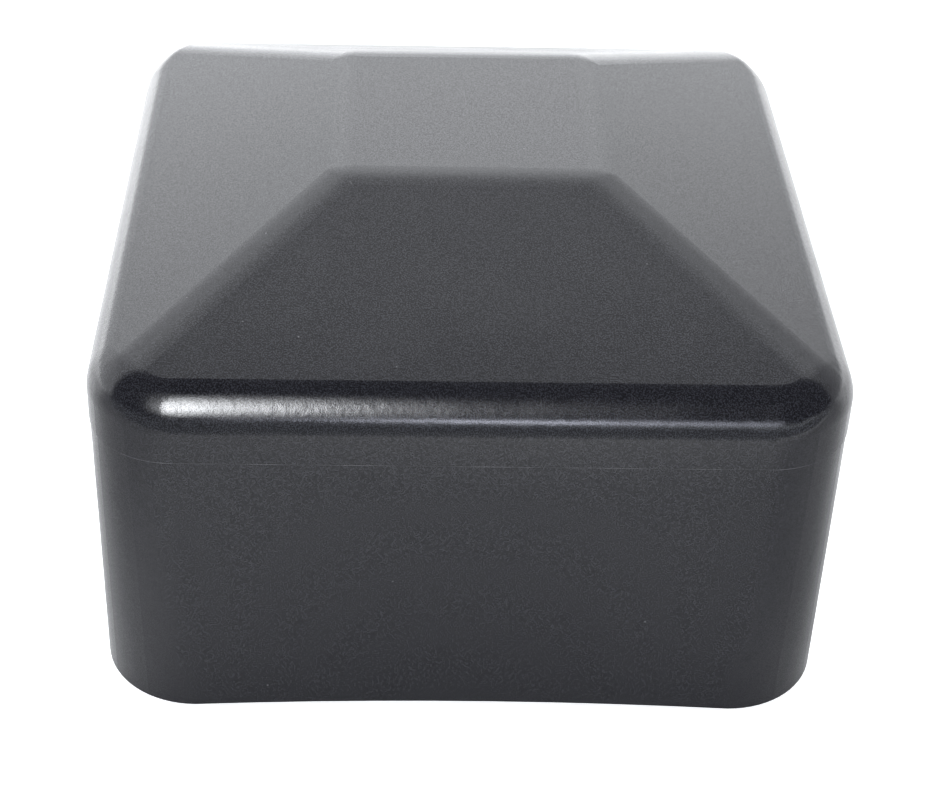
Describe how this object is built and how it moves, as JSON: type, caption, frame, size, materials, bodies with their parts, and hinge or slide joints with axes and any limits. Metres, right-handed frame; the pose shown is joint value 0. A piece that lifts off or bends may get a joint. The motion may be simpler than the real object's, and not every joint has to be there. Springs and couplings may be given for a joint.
{
  "type": "tube end cap",
  "caption": "External push-on end cap for a square tube, with a rolled edge and a low hipped roof that ends in a small flat.",
  "frame": {"origin": "middle of the open rim, in the rim's plane", "axes": "+Z from the open rim up towards the roof, +X and +Y square to the sides"},
  "size_m": [0.0644, 0.0644, 0.0426],
  "materials": {
    "black_plastic": "finely grained black plastic with a satin sheen"
  },
  "bodies": {
    "root": {"end_cap": "black_plastic"}
  },
  "joints": []
}
